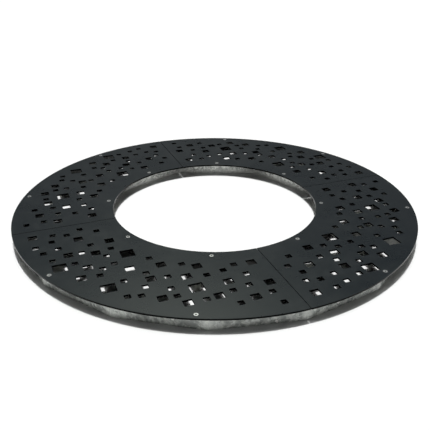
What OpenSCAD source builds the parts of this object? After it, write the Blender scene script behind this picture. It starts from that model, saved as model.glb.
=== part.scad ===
// Round tree grate: four perforated quarter plates screwed down on a welded frame of
// flat bar. The frame stands on the ground: sixteen sides outside, eight round the opening.
// Millimetres. Z is up, the origin is on the ground at the centre of the tree opening,
// and the seams between the quarters lie on the X and Y axes.

/* [Grate] */
// Diameter over the plates
outer_d = 2000; // [1900:10:2200]
// Diameter of the tree opening
opening_d = 1030; // [900:10:1080]
// Thickness of the plates
plate_t = 8; // [6:1:12]
// Gap between neighbouring plates at a seam
plate_gap = 3; // [1:0.5:8]

/* [Frame] */
// Height of the flat bar that the frame is welded from
flat_h = 60; // [50:5:100]
// Thickness of the flat bar
flat_t = 8; // [6:1:12]
// How far the plates stand out past the frame's outer corners
outer_setback = 20; // [14:1:30]
// How far the plates stand in past the middle of the opening's walls
inner_setback = 41; // [30:1:60]

/* [Square holes] */
// Side of the small holes
small_hole = 27; // [20:1:30]
// Side of the medium holes
medium_hole = 40; // [32:1:43]
// Side of the large holes
large_hole = 60; // [45:1:62]

/* [Threaded lugs] */
// Length of a lug along its wall
lug_w = 40; // [30:1:60]
// Length of a lug across its wall
lug_depth = 20; // [18:1:24]
// Thickness of a lug
lug_t = 10; // [8:1:14]
// Size of the bevels on a lug's free corners
lug_bevel = 6; // [2:1:8]
// Distance of a rim screw's axis outside the outer wall's face
rim_screw_offset = 1.2; // [0:0.1:3]
// Distance of an opening screw's axis from the opening's wall
opening_screw_offset = 10; // [8:0.5:12]
// Distance from an outer corner of the frame to the nearest lug
lug_corner_gap = 25; // [10:1:60]

/* [Plate screws] */
// Thread size of the countersunk screws
screw_d = 10; // [8:1:12]
// Diameter of the screw heads
screw_head_d = 20; // [16:0.5:22]
// How far above its lug's underside a screw ends
screw_end_gap = 1.7; // [0.5:0.1:4]
// Depth of the screw heads below the plates' top
head_recess = 0.3; // [0.1:0.1:1]
// Width across flats of the hex sockets
socket_af = 6; // [5:1:8]
// Depth of the hex sockets
socket_depth = 3.5; // [2.5:0.5:5]
// Bevel at the screws' ends
screw_point = 1; // [0.5:0.5:2]

/* [Seam bolts] */
// Thread size of the bolts that join neighbouring frames
bolt_d = 12; // [8:1:14]
// Distance from each wall to the nearest seam bolt
bolt_inset = 80; // [40:5:140]
// Width across flats of the bolt heads and nuts
bolt_af = 18; // [17:1:24]
// Height of the bolt heads
bolt_head_h = 7.5; // [5:0.5:12]
// Height of the nuts
nut_h = 10; // [6:0.5:14]
// How far a bolt stands out of its nut
bolt_tail = 4; // [1:1:12]
// How far the washers stand out past the corners of the bolt heads
washer_rim = 1.6; // [1:0.1:4]
// Thickness of the washers
washer_t = 2.5; // [1.5:0.5:4]

/* [Clearances] */
// Clearance on diameter between a thread and its threaded hole
thread_clearance = 0.1; // [0.05:0.05:0.2]
// Clearance on diameter between a screw or bolt and a plain hole
hole_clearance = 1; // [0.4:0.1:1.4]
// Clearance on radius between a screw head and its countersink
head_clearance = 0.1; // [0.05:0.05:0.3]

/* [Hidden] */
$fn = 96;

QUARTERS = 4;
OUTER_SIDES = 16;
SIDES_PER_QUARTER = OUTER_SIDES / QUARTERS;
INNER_SIDES = 8;
HEX = 6;

outer_r = outer_d / 2;
opening_r = opening_d / 2;

// The frame's two polygons, as half the angle of a side and the distance to its middle
outer_half = 180 / OUTER_SIDES;
inner_half = 180 / INNER_SIDES;
outer_face = (outer_r - outer_setback) * cos(outer_half);
inner_face = opening_r + inner_setback;

// Middle of the diagonal of a quarter, where its middle rib lies
quarter_middle = 45;

// Distance from the middle of an outer side to a lug's middle
lug_shift = outer_face * tan(outer_half) - lug_corner_gap - lug_w / 2;

// Screw places of the first quarter: two by the rim and two by the opening
rim_screw = turned(quarter_middle - outer_half, [outer_face + rim_screw_offset, -lug_shift]);
opening_screw = turned(inner_half, [inner_face - opening_screw_offset, 0]);
screw_places = [rim_screw, mirrored(rim_screw), opening_screw, mirrored(opening_screw)];

// The seam bolts lie at half the height of the bars
bolt_z = flat_h / 2;
bolt_places = [
    wall_reach(inner_face + flat_t, inner_half, 0) + bolt_inset,
    wall_reach(outer_face - flat_t, outer_half, 0) - bolt_inset
];
bolt_grip = flat_t + washer_t;
washer_r = corner_radius(bolt_af / 2, HEX) + washer_rim;

// The square holes of a quarter, each as the angle from its first seam and
// the share of the way from the opening to the rim
large_angle_shares = [[24.1, 0.821], [41.4, 0.795], [63.9, 0.581], [33.2, 0.275]];
medium_angle_shares = [
    [4.3, 0.827], [32.4, 0.801], [56, 0.775], [62.6, 0.8], [70.2, 0.69], [79.5, 0.735],
    [19.7, 0.655], [29.6, 0.653], [85.2, 0.555], [11.7, 0.455], [24.3, 0.455], [40.6, 0.465],
    [49.5, 0.535], [59.8, 0.425], [73.2, 0.485], [19.8, 0.235], [48.9, 0.3], [62.2, 0.25],
    [83.3, 0.217]
];
small_angle_shares = [
    [10.4, 0.845], [14.5, 0.82], [19.7, 0.809], [47.6, 0.835], [50.6, 0.785], [75.3, 0.8],
    [85.4, 0.855], [59.3, 0.72], [67, 0.74], [84.3, 0.69], [5.2, 0.645], [9.2, 0.685],
    [14.3, 0.675], [25.1, 0.69], [35.4, 0.68], [33.5, 0.59], [42.9, 0.65], [49.8, 0.657],
    [56.9, 0.623], [74, 0.62], [79, 0.553], [7, 0.525], [21, 0.541], [34.3, 0.47],
    [18.2, 0.41], [28.6, 0.42], [46.7, 0.47], [54, 0.46], [66.3, 0.385], [79.6, 0.385],
    [4.7, 0.385], [8.9, 0.25], [25.5, 0.31], [42.7, 0.245], [56.2, 0.24], [71.9, 0.31],
    [76.2, 0.225]
];

// A point turned about the centre of the grate
function turned(angle, p) =
    [p.x * cos(angle) - p.y * sin(angle), p.x * sin(angle) + p.y * cos(angle)];

// A point mirrored in the diagonal of the first quarter
function mirrored(p) = [p.y, p.x];

// Where a line parallel to X, y away from it, meets a wall whose middle is turned by half
function wall_reach(face, half, y) = (face - abs(y) * sin(half)) / cos(half);

// A point of the plate's ring, from an angle and a share of the way to the rim
function ring_point(angle, share) =
    turned(angle, [opening_r + (outer_r - opening_r) * share, 0]);

// Radius of the corners of a regular polygon, from the distance to its flats
function corner_radius(flats, sides) = flats / cos(180 / sides);

module in_quarter(i) {
    rotate(90 * (i - 1)) children();
}

module square_holes(side, angle_shares) {
    for (p = angle_shares)
        translate(ring_point(p[0], p[1]))
            square(side, center = true);
}

module quarter_sheet() {
    difference() {
        intersection() {
            circle(outer_r);
            translate([plate_gap / 2, plate_gap / 2])
                square(outer_r);
        }
        circle(opening_r);
        square_holes(small_hole, small_angle_shares);
        square_holes(medium_hole, medium_angle_shares);
        square_holes(large_hole, large_angle_shares);
    }
}

// A hole with a right-angled countersink, its mouth at the origin
module countersunk_hole() {
    hole_r = (screw_d + hole_clearance) / 2;
    mouth_r = screw_head_d / 2 + head_recess + head_clearance;
    cone_h = mouth_r - hole_r;
    over = 1;
    translate([0, 0, -plate_t - over])
        cylinder(h = plate_t + 2 * over, r = hole_r);
    translate([0, 0, -cone_h])
        cylinder(h = cone_h + over, r1 = hole_r, r2 = mouth_r + over);
}

module cover_plate(i) {
    color([0.21, 0.23, 0.23])
        in_quarter(i)
            difference() {
                translate([0, 0, flat_h])
                    linear_extrude(plate_t)
                        quarter_sheet();
                for (p = screw_places)
                    translate([p.x, p.y, flat_h + plate_t])
                        countersunk_hole();
            }
}

// One side of a polygonal wall, mitred at both ends. near and far are the distances
// from the centre to the side's two faces.
module mitred_flat(near, far, half) {
    linear_extrude(flat_h)
        polygon([
            [near, -near * tan(half)], [far, -far * tan(half)],
            [far, far * tan(half)], [near, near * tan(half)]
        ]);
}

// A notch through the outer wall's top edge, which a rim lug is let into
module lug_notch(shift) {
    translate([outer_face - 2 * flat_t, shift - lug_w / 2, flat_h - lug_t])
        cube([3 * flat_t, lug_w, 2 * lug_t]);
}

// The two sides next to a quarter's middle are notched near their far ends
module outer_flat(i) {
    place = (i - 1) % SIDES_PER_QUARTER + 1;
    color([0.6, 0.62, 0.62])
        rotate((2 * i - 1) * outer_half)
            difference() {
                mitred_flat(outer_face - flat_t, outer_face, outer_half);
                if (place == SIDES_PER_QUARTER / 2)
                    lug_notch(-lug_shift);
                if (place == SIDES_PER_QUARTER / 2 + 1)
                    lug_notch(lug_shift);
            }
}

module inner_flat(i) {
    color([0.64, 0.66, 0.66])
        rotate((2 * i - 1) * inner_half)
            mitred_flat(inner_face, inner_face + flat_t, inner_half);
}

module bolt_holes() {
    for (x = bolt_places)
        translate([x, 0, bolt_z])
            rotate([90, 0, 0])
                cylinder(h = 4 * flat_t, d = bolt_d + hole_clearance, center = true);
}

// Bar along a quarter's first seam, cut to meet both walls
module seam_bar() {
    near = inner_face + flat_t;
    far = outer_face - flat_t;
    difference() {
        linear_extrude(flat_h)
            polygon([
                [wall_reach(near, inner_half, 0), 0],
                [wall_reach(far, outer_half, 0), 0],
                [wall_reach(far, outer_half, flat_t), flat_t],
                [wall_reach(near, inner_half, flat_t), flat_t]
            ]);
        bolt_holes();
    }
}

module start_bar(i) {
    color([0.56, 0.58, 0.58])
        in_quarter(i)
            seam_bar();
}

module end_bar(i) {
    color([0.56, 0.58, 0.58])
        in_quarter(i + 1)
            mirror([0, 1, 0])
                seam_bar();
}

// Rib from a corner of the opening's wall to a corner of the outer wall
module middle_rib(i) {
    near = inner_face + flat_t;
    far = outer_face - flat_t;
    side = flat_t / 2;
    color([0.56, 0.58, 0.58])
        in_quarter(i)
            rotate(quarter_middle)
                linear_extrude(flat_h)
                    polygon([
                        [wall_reach(near, inner_half, side), -side],
                        [wall_reach(far, outer_half, side), -side],
                        [wall_reach(far, outer_half, 0), 0],
                        [wall_reach(far, outer_half, side), side],
                        [wall_reach(near, inner_half, side), side],
                        [wall_reach(near, inner_half, 0), 0]
                    ]);
}

// Threaded lug that reaches out along X from the origin, its top under the plate
module lug(thread_offset) {
    half_w = lug_w / 2;
    translate([0, 0, flat_h - lug_t])
        difference() {
            linear_extrude(lug_t)
                polygon([
                    [0, -half_w], [lug_depth - lug_bevel, -half_w],
                    [lug_depth, lug_bevel - half_w], [lug_depth, half_w - lug_bevel],
                    [lug_depth - lug_bevel, half_w], [0, half_w]
                ]);
            translate([thread_offset, 0, -1])
                cylinder(h = lug_t + 2, d = screw_d + thread_clearance);
        }
}

module rim_lugs(i) {
    color([0.6, 0.62, 0.62])
        in_quarter(i)
            for (side = [-1, 1])
                rotate(quarter_middle + side * outer_half)
                    translate([outer_face - flat_t, side * lug_shift, 0])
                        lug(flat_t + rim_screw_offset);
}

module opening_lugs(i) {
    color([0.64, 0.66, 0.66])
        in_quarter(i)
            for (side = [-1, 1])
                rotate(quarter_middle + side * inner_half)
                    translate([inner_face, 0, 0])
                        mirror([1, 0, 0])
                            lug(opening_screw_offset);
}

// Countersunk socket screw, the middle of its head's top at the origin
module plate_screw() {
    head_r = screw_head_d / 2;
    shank_r = screw_d / 2;
    head_h = head_r - shank_r;
    length = plate_t - head_recess + lug_t - screw_end_gap;
    difference() {
        rotate_extrude()
            polygon([
                [0, 0], [head_r, 0], [shank_r, -head_h], [shank_r, screw_point - length],
                [shank_r - screw_point, -length], [0, -length]
            ]);
        translate([0, 0, -socket_depth])
            cylinder(h = socket_depth + 1, r = corner_radius(socket_af / 2, HEX), $fn = HEX);
    }
}

module plate_screws(i) {
    color([0.78, 0.79, 0.8])
        in_quarter(i)
            for (p = screw_places)
                translate([p.x, p.y, flat_h + plate_t - head_recess])
                    plate_screw();
}

// Hexagon prism with its far edges bevelled, as on a bolt head or a nut
module hexagon(height) {
    corner_r = corner_radius(bolt_af / 2, HEX);
    intersection() {
        cylinder(h = height, r = corner_r, $fn = HEX);
        cylinder(h = height, r1 = bolt_af / 2 + height, r2 = bolt_af / 2);
    }
}

// Places children at every seam bolt, Z along the bolt and the seam at the origin
module at_seam_bolts() {
    for (i = [1:QUARTERS])
        for (x = bolt_places)
            in_quarter(i)
                translate([x, 0, bolt_z])
                    rotate([-90, 0, 0])
                        children();
}

module seam_bolts() {
    color([0.7, 0.71, 0.72])
        at_seam_bolts() {
            translate([0, 0, bolt_grip])
                hexagon(bolt_head_h);
            translate([0, 0, -bolt_grip - nut_h - bolt_tail])
                cylinder(h = 2 * bolt_grip + nut_h + bolt_tail, d = bolt_d);
        }
}

module seam_washers() {
    color([0.74, 0.75, 0.75])
        at_seam_bolts()
            for (side = [0, 1])
                mirror([0, 0, side])
                    translate([0, 0, flat_t])
                        difference() {
                            cylinder(h = washer_t, r = washer_r);
                            translate([0, 0, -1])
                                cylinder(h = washer_t + 2, d = bolt_d + hole_clearance);
                        }
}

module seam_nuts() {
    color([0.7, 0.71, 0.72])
        at_seam_bolts()
            mirror([0, 0, 1])
                translate([0, 0, bolt_grip])
                    difference() {
                        hexagon(nut_h);
                        translate([0, 0, -1])
                            cylinder(h = nut_h + 2, d = bolt_d + thread_clearance);
                    }
}

for (i = [1:QUARTERS]) cover_plate(i);
for (i = [1:OUTER_SIDES]) outer_flat(i);
for (i = [1:INNER_SIDES]) inner_flat(i);
for (i = [1:QUARTERS]) start_bar(i);
for (i = [1:QUARTERS]) end_bar(i);
for (i = [1:QUARTERS]) middle_rib(i);
for (i = [1:QUARTERS]) rim_lugs(i);
for (i = [1:QUARTERS]) opening_lugs(i);
for (i = [1:QUARTERS]) plate_screws(i);
seam_bolts();
seam_washers();
seam_nuts();
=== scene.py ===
import math
import random

import bmesh
import bpy
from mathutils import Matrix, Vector


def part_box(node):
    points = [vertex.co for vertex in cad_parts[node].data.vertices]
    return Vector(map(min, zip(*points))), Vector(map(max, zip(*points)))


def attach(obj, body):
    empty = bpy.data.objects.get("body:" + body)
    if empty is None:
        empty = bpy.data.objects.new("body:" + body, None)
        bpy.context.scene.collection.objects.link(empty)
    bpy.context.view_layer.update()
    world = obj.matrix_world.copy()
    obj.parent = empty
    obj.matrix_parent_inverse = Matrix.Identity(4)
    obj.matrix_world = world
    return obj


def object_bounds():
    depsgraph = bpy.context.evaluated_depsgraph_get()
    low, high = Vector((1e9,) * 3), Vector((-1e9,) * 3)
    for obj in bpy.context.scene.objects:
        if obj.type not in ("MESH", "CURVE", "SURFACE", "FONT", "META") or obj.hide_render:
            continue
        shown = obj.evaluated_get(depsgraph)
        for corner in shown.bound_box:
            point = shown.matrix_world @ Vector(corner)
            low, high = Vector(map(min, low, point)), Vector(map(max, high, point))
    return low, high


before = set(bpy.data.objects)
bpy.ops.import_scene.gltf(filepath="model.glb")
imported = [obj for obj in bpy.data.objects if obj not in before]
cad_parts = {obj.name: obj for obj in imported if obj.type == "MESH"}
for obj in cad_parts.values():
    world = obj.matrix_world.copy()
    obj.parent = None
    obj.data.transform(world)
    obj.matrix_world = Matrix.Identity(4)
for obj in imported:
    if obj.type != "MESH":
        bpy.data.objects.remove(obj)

cad_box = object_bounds()

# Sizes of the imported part, in metres, read from its nodes
GRATE_R = cad_box[1].x
PLATE_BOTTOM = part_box("cover_plate_1")[0].z
LUG_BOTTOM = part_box("rim_lugs_1")[0].z
SCREW_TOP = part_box("plate_screws_1")[1].z
BOLT_Z = (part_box("seam_washers")[0].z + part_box("seam_washers")[1].z) / 2

# Sizes that no box gives, as in the part's source
QUARTERS = 4
OUTER_SIDES = 16
INNER_SIDES = 8
OPENING_R = 0.515
FLAT_T = 0.008
LUG_W = 0.040
LUG_CORNER_GAP = 0.025
BOLT_INSET = 0.080
BOLT_R = 0.006
BOLT_REACH = 0.0245

# Faces of the two walls, as the distance from the centre to the middle of a side.
# The first flat of each wall has a corner on the X axis.
OUTER_HALF = math.pi / OUTER_SIDES
INNER_HALF = math.pi / INNER_SIDES
OUTER_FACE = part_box("outer_flat_1")[1].x * math.cos(OUTER_HALF)
INNER_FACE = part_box("inner_flat_1")[1].x * math.cos(INNER_HALF) - FLAT_T
LUG_SHIFT = OUTER_FACE * math.tan(OUTER_HALF) - LUG_CORNER_GAP - LUG_W / 2

# Weld beads, in metres: the radius, and how far the middle line lies from the corner it fills
OUTSIDE_MITRE_BEAD, OUTSIDE_MITRE_SINK = 0.0021, 0.0014
INSIDE_MITRE_BEAD, INSIDE_MITRE_SINK = 0.0026, 0.0004
BAR_BEAD, BAR_BEAD_OFF = 0.0030, 0.0008
LUG_BEAD, LUG_BEAD_OFF = 0.0024, 0.0006
BEAD_END_GAP = 0.003
LUG_BEAD_END_GAP = 0.0026
LUG_BEAD_OVERLAP = 0.001
RIPPLE = 0.0016
SWELL = 0.011
BEAD_SIDES = 8
RINGS_PER_RIPPLE = 3

# M12 threads on the seam bolts
THREAD_PITCH = 0.00175
THREAD_DEPTH = 0.0003
THREAD_LENGTH = 0.0050
THREAD_START = 0.0008
THREAD_ROOT_SINK = 0.0002
THREAD_HALF_WIDTH = 0.42 * THREAD_PITCH
RINGS_PER_TURN = 24

# The camera fitted to the photo. It looks HEADING degrees from +Y towards +X, and PITCH degrees down.
CAMERA_AT = (-0.9857, -2.5544, 1.3514)
HEADING = 21.144
PITCH = 26.41
LENS_MM = 49.22
SENSOR_MM = 36.0

FLOOR_HALF_SIZE = 200.0
WHITE = (1.0, 1.0, 1.0, 1)

# Energy and width in degrees of each sun, and how far both lean from straight above
SUNS = ((2.5, 3.5), (0.65, 32))
SUN_LEAN = 3.5

# The bevel radius that finds the plates' worn edges and the screw rims' painted shade, and the widths that
# break the solids' edges
WEAR_AND_SHADE_EDGE = 0.0012
PLATE_EDGE = 0.0006
STEEL_EDGE = 0.0008
FASTENER_EDGE = 0.0003

rng = random.Random(7)


# Camera

def make_camera():
    data = bpy.data.cameras.new("camera")
    data.sensor_width = SENSOR_MM
    data.lens = LENS_MM
    data.clip_start = 0.05
    data.clip_end = 400.0
    cam = bpy.data.objects.new("camera", data)
    cam.location = CAMERA_AT
    cam.rotation_euler = (math.radians(90 - PITCH), 0.0, math.radians(-HEADING))
    bpy.context.collection.objects.link(cam)
    bpy.context.scene.camera = cam


# Node helpers

class Graph:
    """Adds nodes to a material or world, one call each, and wires them."""

    def __init__(self, owner):
        owner.use_nodes = True
        self.tree = owner.node_tree
        self.tree.nodes.clear()

    def node(self, kind, inputs=None, **settings):
        made = self.tree.nodes.new(kind)
        for name, value in settings.items():
            setattr(made, name, value)
        for key, value in (inputs or {}).items():
            self.feed(made.inputs[key], value)
        return made

    def feed(self, socket, value):
        if isinstance(value, bpy.types.NodeSocket):
            self.tree.links.new(value, socket)
        else:
            socket.default_value = value

    def math(self, operation, a, b=0.0):
        return self.node("ShaderNodeMath", {0: a, 1: b}, operation=operation).outputs[0]

    def plus(self, a, b):
        return self.math("ADD", a, b)

    def times(self, a, b):
        return self.math("MULTIPLY", a, b)

    def less(self, a, b):
        return self.math("SUBTRACT", a, b)

    def most(self, a, b):
        return self.math("MAXIMUM", a, b)

    def weighted(self, *pairs):
        """Sum of values, each times its weight."""
        total = self.times(*pairs[0])
        for pair in pairs[1:]:
            total = self.plus(total, self.times(*pair))
        return total

    def vector(self, operation, a, b=(0.0, 0.0, 0.0)):
        return self.node("ShaderNodeVectorMath", {0: a, 1: b}, operation=operation).outputs[0]

    def dot(self, a, b):
        return self.node("ShaderNodeVectorMath", {0: a, 1: b}, operation="DOT_PRODUCT").outputs["Value"]

    def length(self, vector):
        return self.node("ShaderNodeVectorMath", {0: vector}, operation="LENGTH").outputs["Value"]

    def xyz(self, vector):
        return self.node("ShaderNodeSeparateXYZ", {0: vector}).outputs

    def channels(self, colour):
        return self.node("ShaderNodeSeparateColor", {0: colour}).outputs

    def coordinates(self, kind):
        return self.node("ShaderNodeTexCoord").outputs[kind]

    def span(self, value, low, high, to_low=0.0, to_high=1.0):
        """Maps low..high of a value smoothly to to_low..to_high, clamped."""
        made = self.node("ShaderNodeMapRange", {0: value, 1: low, 2: high, 3: to_low, 4: to_high})
        made.interpolation_type = "SMOOTHSTEP"
        return made.outputs[0]

    def noise(self, where, scale, detail=2.0, rough=0.5, distortion=0.0):
        return self.node("ShaderNodeTexNoise", {
            "Vector": where, "Scale": scale, "Detail": detail, "Roughness": rough,
            "Distortion": distortion}).outputs[0]

    def colour_mix(self, share, a, b):
        made = self.node("ShaderNodeMix", data_type="RGBA")
        self.feed(made.inputs[0], share)
        self.feed(made.inputs[6], a)
        self.feed(made.inputs[7], b)
        return made.outputs[2]

    def bump(self, height, distance, strength=1.0, normal=None):
        inputs = {"Height": height, "Distance": distance, "Strength": strength}
        if normal is not None:
            inputs["Normal"] = normal
        return self.node("ShaderNodeBump", inputs).outputs[0]

    def background(self, colour, strength):
        return self.node("ShaderNodeBackground", {"Color": colour, "Strength": strength}).outputs[0]

    def surface(self, **inputs):
        """Puts a principled shader on the material's output.

        An underscore stands for a space in a socket's name.
        """
        named = {name.replace("_", " "): value for name, value in inputs.items()}
        self.finish(self.node("ShaderNodeBsdfPrincipled", named).outputs[0], "ShaderNodeOutputMaterial")

    def finish(self, shader, kind):
        self.node(kind, {"Surface": shader})


def new_material(name):
    mat = bpy.data.materials.new(name)
    g = Graph(mat)
    return mat, g, g.coordinates("Object")


def flattened(g, where):
    """The vector from the grate's axis to a point, level with it."""
    return g.vector("MULTIPLY", where, (1.0, 1.0, 0.0))


def edge_mask(g, radius):
    """Near 1 on sharp edges and 0 on flat faces, from the normal that a small bevel would have."""
    round_normal = g.node("ShaderNodeBevel", {"Radius": radius}, samples=4).outputs[0]
    flat_normal = g.node("ShaderNodeNewGeometry").outputs["Normal"]
    return g.span(g.dot(round_normal, flat_normal), 0.995, 0.85)


def in_view(g, where):
    """Near 1 on the rim wall's outside and the opening wall's inside, 0 on what the plates cover."""
    flat = flattened(g, where)
    outward = g.dot(g.vector("NORMALIZE", flat), g.coordinates("Normal"))
    side = g.less(g.length(flat), (OUTER_FACE + INNER_FACE) / 2)
    return g.span(g.times(side, outward), 0.02, 0.10)


def off_corner(g, bearing, sides, sway_by, sway):
    """0 at a wall's corners and 0.5 at the middle of its sides, with an uneven border."""
    share = g.math("PINGPONG", g.times(bearing, sides / math.tau), 0.5)
    return g.plus(share, g.span(sway_by, 0.3, 0.7, -sway, sway))


def spots(g, wall, scale):
    """Cells on the unrolled wall: the distance from a cell's middle, and its own random number."""
    made = g.node("ShaderNodeTexVoronoi", {"Vector": wall, "Scale": scale}, voronoi_dimensions="2D")
    return made.outputs["Distance"], g.channels(made.outputs["Color"])[0]


# Materials

def plate_coating():
    """Satin black powder coat: fine grain, soft waviness, a little dust and rubbed edges."""
    mat, g, where = new_material("powder_coat")
    broad = g.noise(where, 1.7, 3.0, 0.55)
    cloud = g.noise(where, 7.0, 4.0, 0.6, 0.4)
    film = g.noise(where, 38.0, 3.0, 0.6)
    grain = g.noise(where, 420.0, 2.0, 0.5)
    fine = g.noise(where, 1500.0, 1.0, 0.5)
    tone = g.span(g.weighted((broad, 0.6), (cloud, 0.4)), 0.38, 0.62)
    colour = g.colour_mix(tone, (0.0090, 0.0132, 0.0165, 1), (0.0112, 0.0154, 0.0188, 1))
    dust = g.times(g.span(g.times(cloud, film), 0.22, 0.42), 0.03)
    colour = g.colour_mix(dust, colour, (0.11, 0.115, 0.11, 1))
    worn = g.times(edge_mask(g, WEAR_AND_SHADE_EDGE), g.span(film, 0.45, 0.62, 0.12, 0.6))
    colour = g.colour_mix(worn, colour, (0.085, 0.09, 0.092, 1))
    rough = g.plus(g.span(cloud, 0.3, 0.7, 0.27, 0.29), g.times(dust, 1.2))
    # The walls of the holes, the underside and the edges of the ring are painted near black as painted
    # shade, and are metallic; the walls of the holes and the underside are dull, the edges of the ring
    # smooth
    top = g.span(g.xyz(g.coordinates("Normal"))[2], 0.25, 0.75)
    painted_dark_sides = g.less(1.0, top)
    ring_middle = (OPENING_R + GRATE_R) / 2
    ring_half = (GRATE_R - OPENING_R) / 2
    off_middle = g.math("ABSOLUTE", g.less(g.length(flattened(g, where)), ring_middle))
    edge = g.span(off_middle, ring_half - 0.009, ring_half - 0.002)
    rough = g.plus(g.times(rough, top), g.times(painted_dark_sides, g.span(edge, 0.0, 1.0, 0.7, 0.25)))
    # Painted shade: every face but the top gets a near black colour
    colour = g.colour_mix(top, (0.002, 0.002, 0.002, 1), colour)
    normal = g.bump(g.weighted((grain, 0.7), (fine, 0.3)), 0.00005, 0.6)
    normal = g.bump(film, 0.00003, 0.5, normal)
    g.surface(Base_Color=colour, Roughness=rough, Metallic=painted_dark_sides, Normal=normal, IOR=1.45,
              Specular_IOR_Level=0.9)
    return mat


def galvanised(name, clean):
    """Hot-dip galvanised steel: spangle, slanting runs and drips, with a painted highlight by the rim's
    mitres, painted light and shade on the opening's wall, and painted shade where the plates cover it.

    clean is how much of its colour the zinc keeps where the plates cover it, from 0 to 1; the rest is
    painted shade.
    """
    mat, g, where = new_material(name)
    x, y, height = g.xyz(where)
    bearing = g.math("ARCTAN2", y, x)
    along = g.times(bearing, OUTER_FACE)
    wall = g.node("ShaderNodeCombineXYZ", {0: along, 1: height}).outputs[0]
    slanted = g.node("ShaderNodeCombineXYZ", {
        0: g.plus(along, g.times(height, 0.8)), 1: g.times(height, 0.5)}).outputs[0]
    warp = g.node("ShaderNodeTexNoise", {"Vector": where, "Scale": 30.0, "Detail": 2.0}).outputs["Color"]
    warped = g.node("ShaderNodeVectorMath", {
        0: warp, 1: (0.012, 0.012, 0.012), 2: where}, operation="MULTIPLY_ADD").outputs[0]
    crystal = g.node("ShaderNodeTexVoronoi", {"Vector": warped, "Scale": 85.0}).outputs["Color"]
    crystal_tone, crystal_gloss, crystal_tilt = g.channels(crystal)[:3]
    runs = g.noise(slanted, 50.0, 4.0, 0.62, 0.6)
    patch = g.noise(where, 13.0, 4.0, 0.6, 0.8)
    smudge = g.noise(where, 42.0, 3.0, 0.6, 0.8)
    fine = g.noise(where, 900.0, 2.0, 0.6)
    tone = g.weighted((patch, 0.40), (smudge, 0.26), (runs, 0.20), (crystal_tone, 0.14))
    colour = g.colour_mix(g.span(tone, 0.38, 0.62), (0.278, 0.293, 0.282, 1), (0.70, 0.727, 0.69, 1))

    # The opening's wall has brighter spangle, made stronger towards its foot as painted light, a painted
    # light on its foot and painted shade in its corners
    rim = g.span(g.length(flattened(g, where)), 0.70, 0.80)
    inner = g.less(1.0, rim)
    spangle_and_foot_light = g.times(g.span(crystal_tone, 0.3, 0.9, 0.25, 0.95), inner)
    # Painted light: the spangle grows stronger towards the foot of the wall
    spangle_and_foot_light = g.times(spangle_and_foot_light, g.span(height, 0.0, 0.045, 1.5, 0.8))
    colour = g.colour_mix(spangle_and_foot_light, colour, (0.95, 0.97, 0.92, 1))
    # Painted shade: the opening wall's corners are darkened
    corner = g.span(off_corner(g, bearing, INNER_SIDES, smudge, 0.04), 0.03, 0.24, 0.6, 0.0)
    colour = g.colour_mix(g.times(corner, inner), colour, (0.20, 0.205, 0.195, 1))
    # Painted light: the opening wall's foot is lightened
    foot = g.times(g.span(height, 0.004, 0.030, 0.6, 0.0), inner)
    colour = g.colour_mix(foot, colour, (1.0, 1.0, 0.97, 1))

    # The rim's wall has a painted highlight at its mitres
    mitre = g.span(off_corner(g, bearing, OUTER_SIDES, smudge, 0.02), 0.02, 0.08, 0.50, 0.0)
    pale = g.times(mitre, rim)
    colour = g.colour_mix(pale, colour, (0.78, 0.803, 0.762, 1))

    # Bright drips with a dark halo on the lower part, and small drops along the top edge
    distance, number = spots(g, wall, 12.0)
    chosen = g.times(g.span(number, 0.30, 0.34), g.span(height, 0.038, 0.048, 1.0, 0.0))
    distance = g.plus(distance, g.span(smudge, 0.3, 0.7, -0.03, 0.03))
    halo = g.times(g.span(distance, 0.17, 0.10, 0.0, 0.5), chosen)
    drips = g.times(g.span(distance, 0.100, 0.075), chosen)
    colour = g.colour_mix(halo, colour, (0.16, 0.165, 0.16, 1))
    colour = g.colour_mix(drips, colour, (0.92, 0.92, 0.88, 1))
    distance, number = spots(g, wall, 34.0)
    chosen = g.times(g.span(number, 0.55, 0.60), g.span(height, 0.046, 0.052))
    drops = g.times(g.span(distance, 0.11, 0.07), chosen)
    colour = g.colour_mix(drops, colour, (0.95, 0.95, 0.92, 1))

    # Painted shade: the zinc is darkened where the plates cover it
    unshaded_share = g.span(in_view(g, where), 0.0, 1.0, clean, 1.0)
    colour = g.colour_mix(unshaded_share, (0.09, 0.09, 0.087, 1), colour)
    rough = g.plus(g.span(crystal_gloss, 0.0, 1.0, 0.42, 0.52), g.times(patch, 0.12))
    lumps = g.most(drips, drops)
    normal = g.bump(g.weighted((runs, 0.5), (smudge, 0.8)), 0.0012, 0.5)
    normal = g.bump(crystal_tilt, 0.00012, 0.35, normal)
    normal = g.bump(fine, 0.00003, 0.5, normal)
    normal = g.bump(lumps, 0.0010, 1.0, normal)
    dull = g.most(g.most(pale, lumps), spangle_and_foot_light)
    g.surface(Base_Color=colour, Metallic=g.span(dull, 0.0, 1.0, 0.5, 0.1), Roughness=rough, Normal=normal)
    return mat


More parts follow.
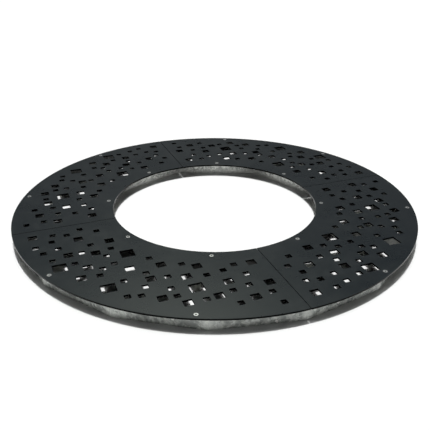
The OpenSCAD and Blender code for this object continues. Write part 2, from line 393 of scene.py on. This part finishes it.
def screw_steel():
    """Satin stainless screw heads, with painted shade in the sockets and round the rims."""
    mat, g, where = new_material("screw_steel")
    height = g.xyz(where)[2]
    sunk = g.span(height, SCREW_TOP - 0.0016, SCREW_TOP - 0.0003, 1.0, 0.0)
    speck = g.noise(where, 700.0, 3.0, 0.6)
    cloud = g.noise(where, 160.0, 2.0, 0.5)
    steel = g.colour_mix(g.span(cloud, 0.35, 0.65), (0.90, 0.91, 0.92, 1), (0.97, 0.98, 0.99, 1))
    # Painted shade: the sockets and the rims of the heads are darkened, unevenly
    socket_rim_shade = g.most(sunk, g.times(edge_mask(g, WEAR_AND_SHADE_EDGE), 0.8))
    socket_rim_shade = g.times(socket_rim_shade, g.span(speck, 0.3, 0.6, 0.75, 1.0))
    colour = g.colour_mix(socket_rim_shade, steel, (0.035, 0.036, 0.035, 1))
    rough = g.plus(g.span(speck, 0.3, 0.7, 0.28, 0.35), g.times(socket_rim_shade, 0.3))
    g.surface(Base_Color=colour, Metallic=g.less(0.88, g.times(socket_rim_shade, 0.8)), Roughness=rough,
              Normal=g.bump(speck, 0.00004, 0.5))
    return mat


def zinc_plate():
    """Zinc on the bolts, nuts and washers: a fine crystal bloom and a slight stain."""
    mat, g, where = new_material("zinc_plate")
    bloom = g.node("ShaderNodeTexVoronoi", {"Vector": where, "Scale": 900.0}).outputs["Color"]
    bloom = g.channels(bloom)[0]
    cloud = g.noise(where, 90.0, 3.0, 0.6)
    tone = g.weighted((bloom, 0.3), (cloud, 0.7))
    colour = g.colour_mix(g.span(tone, 0.3, 0.7), (0.42, 0.425, 0.42, 1), (0.70, 0.71, 0.715, 1))
    stain = g.times(g.span(g.noise(where, 45.0, 3.0, 0.6), 0.58, 0.7), 0.35)
    colour = g.colour_mix(stain, colour, (0.40, 0.36, 0.28, 1))
    g.surface(Base_Color=colour, Metallic=0.9, Roughness=g.span(cloud, 0.3, 0.7, 0.34, 0.5),
              Normal=g.bump(g.plus(bloom, cloud), 0.00005, 0.4))
    return mat


def weld_metal():
    """Galvanised weld beads, a shade duller than the flats, with painted shade where the plates cover
    them.
    """
    mat, g, where = new_material("weld_metal")
    lump = g.noise(where, 260.0, 3.0, 0.6)
    patch = g.noise(where, 40.0, 3.0, 0.6)
    tone = g.weighted((lump, 0.4), (patch, 0.6))
    colour = g.colour_mix(g.span(tone, 0.35, 0.65), (0.55, 0.56, 0.54, 1), (0.80, 0.81, 0.78, 1))
    # Painted shade: the beads are darkened where the plates cover them
    colour = g.colour_mix(in_view(g, where), (0.05, 0.05, 0.048, 1), colour)
    g.surface(Base_Color=colour, Metallic=0.3, Roughness=g.span(lump, 0.3, 0.7, 0.42, 0.58),
              Normal=g.bump(lump, 0.0003, 0.5))
    return mat


# CAD nodes get cleaned shading and a small bevel, both as modifiers

def clean_shading_group():
    """Geometry nodes that weld the CAD mesh and shade it smooth, but for its sharp edges."""
    group = bpy.data.node_groups.new("clean_shading", "GeometryNodeTree")
    group.interface.new_socket("Geometry", in_out="INPUT", socket_type="NodeSocketGeometry")
    group.interface.new_socket("Geometry", in_out="OUTPUT", socket_type="NodeSocketGeometry")
    new, link = group.nodes.new, group.links.new
    start = new("NodeGroupInput")
    strip = new("GeometryNodeRemoveAttribute")
    strip.inputs["Name"].default_value = "custom_normal"
    weld = new("GeometryNodeMergeByDistance")
    weld.inputs["Distance"].default_value = 0.00001
    angle = new("GeometryNodeInputMeshEdgeAngle")
    sharp = new("FunctionNodeCompare")
    sharp.data_type = "FLOAT"
    sharp.operation = "GREATER_THAN"
    sharp.inputs[1].default_value = math.radians(25)
    faces = new("GeometryNodeSetShadeSmooth")
    faces.domain = "FACE"
    faces.inputs["Shade Smooth"].default_value = True
    edges = new("GeometryNodeSetShadeSmooth")
    edges.domain = "EDGE"
    edges.inputs["Shade Smooth"].default_value = False
    end = new("NodeGroupOutput")
    link(start.outputs[0], strip.inputs[0])
    link(strip.outputs[0], weld.inputs[0])
    link(weld.outputs[0], faces.inputs[0])
    link(faces.outputs[0], edges.inputs[0])
    link(angle.outputs[0], sharp.inputs[0])
    link(sharp.outputs[0], edges.inputs["Selection"])
    link(edges.outputs[0], end.inputs[0])
    return group


def dress_nodes(materials):
    """Gives each CAD node its material and modifiers. The table holds look, bevel width and segments."""
    looks = {
        "cover_plate": ("plate", PLATE_EDGE, 2),
        "plate_screws": ("screw", FASTENER_EDGE, 2),
        "seam_bolts": ("zinc", FASTENER_EDGE, 1),
        "seam_washers": ("zinc", FASTENER_EDGE, 1),
        "seam_nuts": ("zinc", FASTENER_EDGE, 1),
        "outer_flat": ("rim", STEEL_EDGE, 2),
        "rim_lugs": ("rim", STEEL_EDGE, 2),
        "start_bar": ("rim", STEEL_EDGE, 2),
        "end_bar": ("rim", STEEL_EDGE, 2),
        "inner_flat": ("opening", STEEL_EDGE, 2),
        "opening_lugs": ("opening", STEEL_EDGE, 2),
        "middle_rib": ("rib", STEEL_EDGE, 2),
    }
    group = clean_shading_group()
    for name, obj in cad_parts.items():
        key = name.rstrip("0123456789").rstrip("_")
        look, width, segments = looks[key]
        for slot in obj.material_slots:
            slot.material = materials[look]
        clean = obj.modifiers.new("clean_shading", "NODES")
        clean.node_group = group
        if look in ("plate", "screw"):
            # Their flat faces are joined first, because a bevel folds thin triangles over
            flat = obj.modifiers.new("flat_faces", "DECIMATE")
            flat.decimate_type = "DISSOLVE"
            flat.angle_limit = math.radians(0.2)
        bevel = obj.modifiers.new("edge_break", "BEVEL")
        bevel.width = width
        bevel.segments = segments
        bevel.limit_method = "ANGLE"
        bevel.angle_limit = math.radians(35)
        bevel.use_clamp_overlap = False
        bevel.harden_normals = True


# Added pieces

def add_piece(name, bm, material):
    mesh = bpy.data.meshes.new(name)
    bmesh.ops.recalc_face_normals(bm, faces=bm.faces)
    bm.to_mesh(mesh)
    bm.free()
    for poly in mesh.polygons:
        poly.use_smooth = True
    mesh.materials.append(material)
    obj = bpy.data.objects.new(name, mesh)
    bpy.context.collection.objects.link(obj)
    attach(obj, "root")


def turned(x, y, angle, z=0.0):
    """A point turned about the grate's axis."""
    c, s = math.cos(angle), math.sin(angle)
    return Vector((x * c - y * s, x * s + y * c, z))


def wall_reach(face, half, y):
    """Where a line parallel to X, y away from it, meets a wall whose corner is on X."""
    return (face - abs(y) * math.sin(half)) / math.cos(half)


def skin(bm, rings):
    """Faces from each ring of points to the next, and a cap at both ends."""
    around = len(rings[0])
    for a, b in zip(rings, rings[1:]):
        for k in range(around):
            bm.faces.new((a[k], a[(k + 1) % around], b[(k + 1) % around], b[k]))
    bm.faces.new(rings[0])
    bm.faces.new(rings[-1])


def bead(bm, start, end, radius):
    """A weld bead between two points: a rippled tube with rounded ends."""
    along = (end - start).normalized()
    side = along.orthogonal().normalized()
    other = along.cross(side)
    length = (end - start).length
    steps = max(8, round(length / RIPPLE * RINGS_PER_RIPPLE))
    phase = rng.random() * math.tau
    rings = []
    for i in range(steps + 1):
        s = i / steps * length
        end_round = min(1.0, math.sqrt(max(0.0, min(s, length - s)) / radius + 0.04))
        ripple = 0.07 * math.sin(math.tau * s / RIPPLE + phase)
        swell = 0.05 * math.sin(math.tau * s / SWELL + 2 * phase)
        r = radius * end_round * (1.0 + ripple + swell)
        middle = start + along * s
        rings.append([bm.verts.new(middle + side * (r * math.cos(a)) + other * (r * math.sin(a)))
                      for a in (math.tau * k / BEAD_SIDES for k in range(BEAD_SIDES))])
    skin(bm, rings)


def upright_bead(bm, x, y, angle, low, high, radius):
    bead(bm, turned(x, y, angle, low), turned(x, y, angle, high), radius)


def make_mitre_welds(material):
    """Beads outside and inside the corners of both walls, but not at the seams or where a rib is."""
    low, high = BEAD_END_GAP, PLATE_BOTTOM - BEAD_END_GAP
    welds = bmesh.new()
    for sides, outside, inside in ((OUTER_SIDES, OUTER_FACE, OUTER_FACE - FLAT_T),
                                   (INNER_SIDES, INNER_FACE + FLAT_T, INNER_FACE)):
        half = math.pi / sides
        corner = 1 / math.cos(half)
        per_quarter = sides // QUARTERS
        for i in range(sides):
            if i % per_quarter == 0:
                continue
            angle = 2 * half * i
            rib_here = 2 * i % per_quarter == 0
            if not (rib_here and sides == INNER_SIDES):
                upright_bead(welds, outside * corner - OUTSIDE_MITRE_SINK, 0, angle, low, high,
                             OUTSIDE_MITRE_BEAD)
            if not (rib_here and sides == OUTER_SIDES):
                upright_bead(welds, inside * corner - INSIDE_MITRE_SINK, 0, angle, low, high,
                             INSIDE_MITRE_BEAD)
    add_piece("mitre_welds", welds, material)


def make_bar_welds(material):
    """Beads at both ends of the bars and ribs. A pair of bars at a seam is as thick as two flats."""
    low, high = BEAD_END_GAP, PLATE_BOTTOM - BEAD_END_GAP
    welds = bmesh.new()
    near_wall = (INNER_FACE + FLAT_T, INNER_HALF, BAR_BEAD_OFF)
    far_wall = (OUTER_FACE - FLAT_T, OUTER_HALF, -BAR_BEAD_OFF)
    for i in range(QUARTERS):
        seam = math.pi / 2 * i
        rib = seam + math.pi / 4
        for turn, offset in ((seam, FLAT_T), (seam, -FLAT_T), (rib, FLAT_T / 2), (rib, -FLAT_T / 2)):
            y = offset + math.copysign(BAR_BEAD_OFF, offset)
            for face, half, inward in (near_wall, far_wall):
                x = wall_reach(face, half, offset) + inward
                upright_bead(welds, x, y, turn, low, high, BAR_BEAD)
    add_piece("bar_welds", welds, material)


def make_lug_welds(material):
    """A bead under each lug and one at each of its sides, on the wall's outer or inner face."""
    welds = bmesh.new()
    reach = LUG_W / 2
    under = LUG_BOTTOM - LUG_BEAD_OFF
    half_run = reach - LUG_BEAD_OVERLAP
    low, high = LUG_BOTTOM - LUG_BEAD_OVERLAP, PLATE_BOTTOM - LUG_BEAD_END_GAP
    for i in range(QUARTERS):
        middle = math.pi / 2 * i + math.pi / 4
        for side in (-1, 1):
            places = (
                (OUTER_FACE + LUG_BEAD_OFF, side * LUG_SHIFT, middle + side * OUTER_HALF),
                (INNER_FACE - LUG_BEAD_OFF, 0.0, middle + side * INNER_HALF),
            )
            for x, y, turn in places:
                bead(welds, turned(x, y - half_run, turn, under), turned(x, y + half_run, turn, under),
                     LUG_BEAD)
                for w in (-reach - LUG_BEAD_OFF, reach + LUG_BEAD_OFF):
                    upright_bead(welds, x, y + w, turn, low, high, LUG_BEAD)
    add_piece("lug_welds", welds, material)


def thread(bm, base, axis, side):
    """A V thread wound round a bolt's end, from base along axis."""
    other = axis.cross(side)
    turns = THREAD_LENGTH / THREAD_PITCH - 1.0
    steps = round(turns * RINGS_PER_TURN)
    rings = []
    for i in range(steps + 1):
        t = i / steps
        a = math.tau * turns * t
        ramp = min(1.0, 8 * t, 8 * (1 - t))
        out = side * math.cos(a) + other * math.sin(a)
        s = THREAD_PITCH / 2 + turns * THREAD_PITCH * t
        root = out * (BOLT_R - THREAD_ROOT_SINK)
        crest = out * (BOLT_R + THREAD_DEPTH * ramp)
        rings.append([bm.verts.new(base + root + axis * (s - THREAD_HALF_WIDTH)),
                      bm.verts.new(base + crest + axis * s),
                      bm.verts.new(base + root + axis * (s + THREAD_HALF_WIDTH))])
    skin(bm, rings)


def make_threads(material):
    """Threads on the ends of the seam bolts, past their nuts."""
    threads = bmesh.new()
    near = wall_reach(INNER_FACE + FLAT_T, INNER_HALF, 0) + BOLT_INSET
    far = wall_reach(OUTER_FACE - FLAT_T, OUTER_HALF, 0) - BOLT_INSET
    for i in range(QUARTERS):
        turn = math.pi / 2 * i
        for x in (near, far):
            foot = turned(x, THREAD_START - BOLT_REACH, turn, BOLT_Z)
            thread(threads, foot, turned(0, 1, turn), Vector((0, 0, 1)))
    add_piece("bolt_threads", threads, material)


# Floor and light

def make_floor():
    mat, g, where = new_material("floor")
    colour = g.colour_mix(g.noise(where, 40.0, 3.0), (0.915, 0.921, 0.915, 1), (0.922, 0.928, 0.922, 1))
    g.surface(Base_Color=colour, Roughness=0.9, Specular_IOR_Level=0.0)
    bm = bmesh.new()
    bmesh.ops.create_grid(bm, x_segments=1, y_segments=1, size=FLOOR_HALF_SIZE)
    mesh = bpy.data.meshes.new("floor")
    bm.to_mesh(mesh)
    bm.free()
    mesh.materials.append(mat)
    floor = bpy.data.objects.new("floor", mesh)
    bpy.context.collection.objects.link(floor)


def aim(turn, rise):
    """A direction from its angle right of the camera's heading and its angle above the horizon."""
    turn, rise = math.radians(turn + HEADING), math.radians(rise)
    return (math.sin(turn) * math.cos(rise), math.cos(turn) * math.cos(rise), math.sin(rise))


def make_sky():
    """A low glow all round, a soft box overhead, one behind the grate and one in front."""
    world = bpy.data.worlds.new("studio")
    bpy.context.scene.world = world
    g = Graph(world)
    facing = g.coordinates("Generated")
    up = g.xyz(facing)[2]
    glow = g.span(up, 0.30, 0.65, 0.11, 0.015)
    overhead = g.span(up, 0.88, 0.97, 0.0, 0.35)
    front = g.span(g.dot(facing, aim(180, 0)), -0.1, 0.6)
    front = g.times(g.span(up, 0.02, 0.22, 0.4, 0.0), front)
    edge, core = math.cos(math.radians(17)), math.cos(math.radians(10))
    back = g.span(g.dot(facing, aim(-5, 50)), edge, core, 0.0, 1.52)
    pale = g.background(WHITE, g.plus(g.plus(glow, overhead), front))
    tinted = g.background((0.94, 1.0, 0.87, 1), back)
    lights = g.node("ShaderNodeAddShader", {0: pale, 1: tinted}).outputs[0]
    # The backdrop is white to the camera, and at the horizon to glossy rays too
    path = g.node("ShaderNodeLightPath").outputs
    mirrored = g.most(path["Is Glossy Ray"], path["Is Transmission Ray"])
    mirrored = g.times(mirrored, g.span(up, 0.0, 0.08, 1.0, 0.0))
    seen = g.most(path["Is Camera Ray"], mirrored)
    backdrop = g.background(WHITE, 1.0)
    g.finish(g.node("ShaderNodeMixShader", {0: seen, 1: lights, 2: backdrop}).outputs[0],
             "ShaderNodeOutputWorld")


def make_suns():
    """A small lamp nearly straight above and a wide one that softens its shadow.

    They stay out of the gloss, so that the black plates don't glare when seen from above.
    """
    for energy, width in SUNS:
        data = bpy.data.lights.new("overhead", "SUN")
        data.energy = energy
        data.angle = math.radians(width)
        sun = bpy.data.objects.new("overhead", data)
        sun.visible_glossy = False
        sun.rotation_euler = (math.radians(-SUN_LEAN), 0.0, math.radians(-HEADING))
        bpy.context.collection.objects.link(sun)


bpy.context.scene.view_settings.view_transform = "Standard"
make_camera()
materials = {
    "plate": plate_coating(),
    "screw": screw_steel(),
    "zinc": zinc_plate(),
    "rim": galvanised("galvanised_rim", 0.25),
    "opening": galvanised("galvanised_opening", 0.05),
    "rib": galvanised("galvanised_rib", 0.55),
}
dress_nodes(materials)
weld = weld_metal()
make_mitre_welds(weld)
make_bar_welds(weld)
make_lug_welds(weld)
make_threads(materials["zinc"])
make_floor()
make_sky()
make_suns()
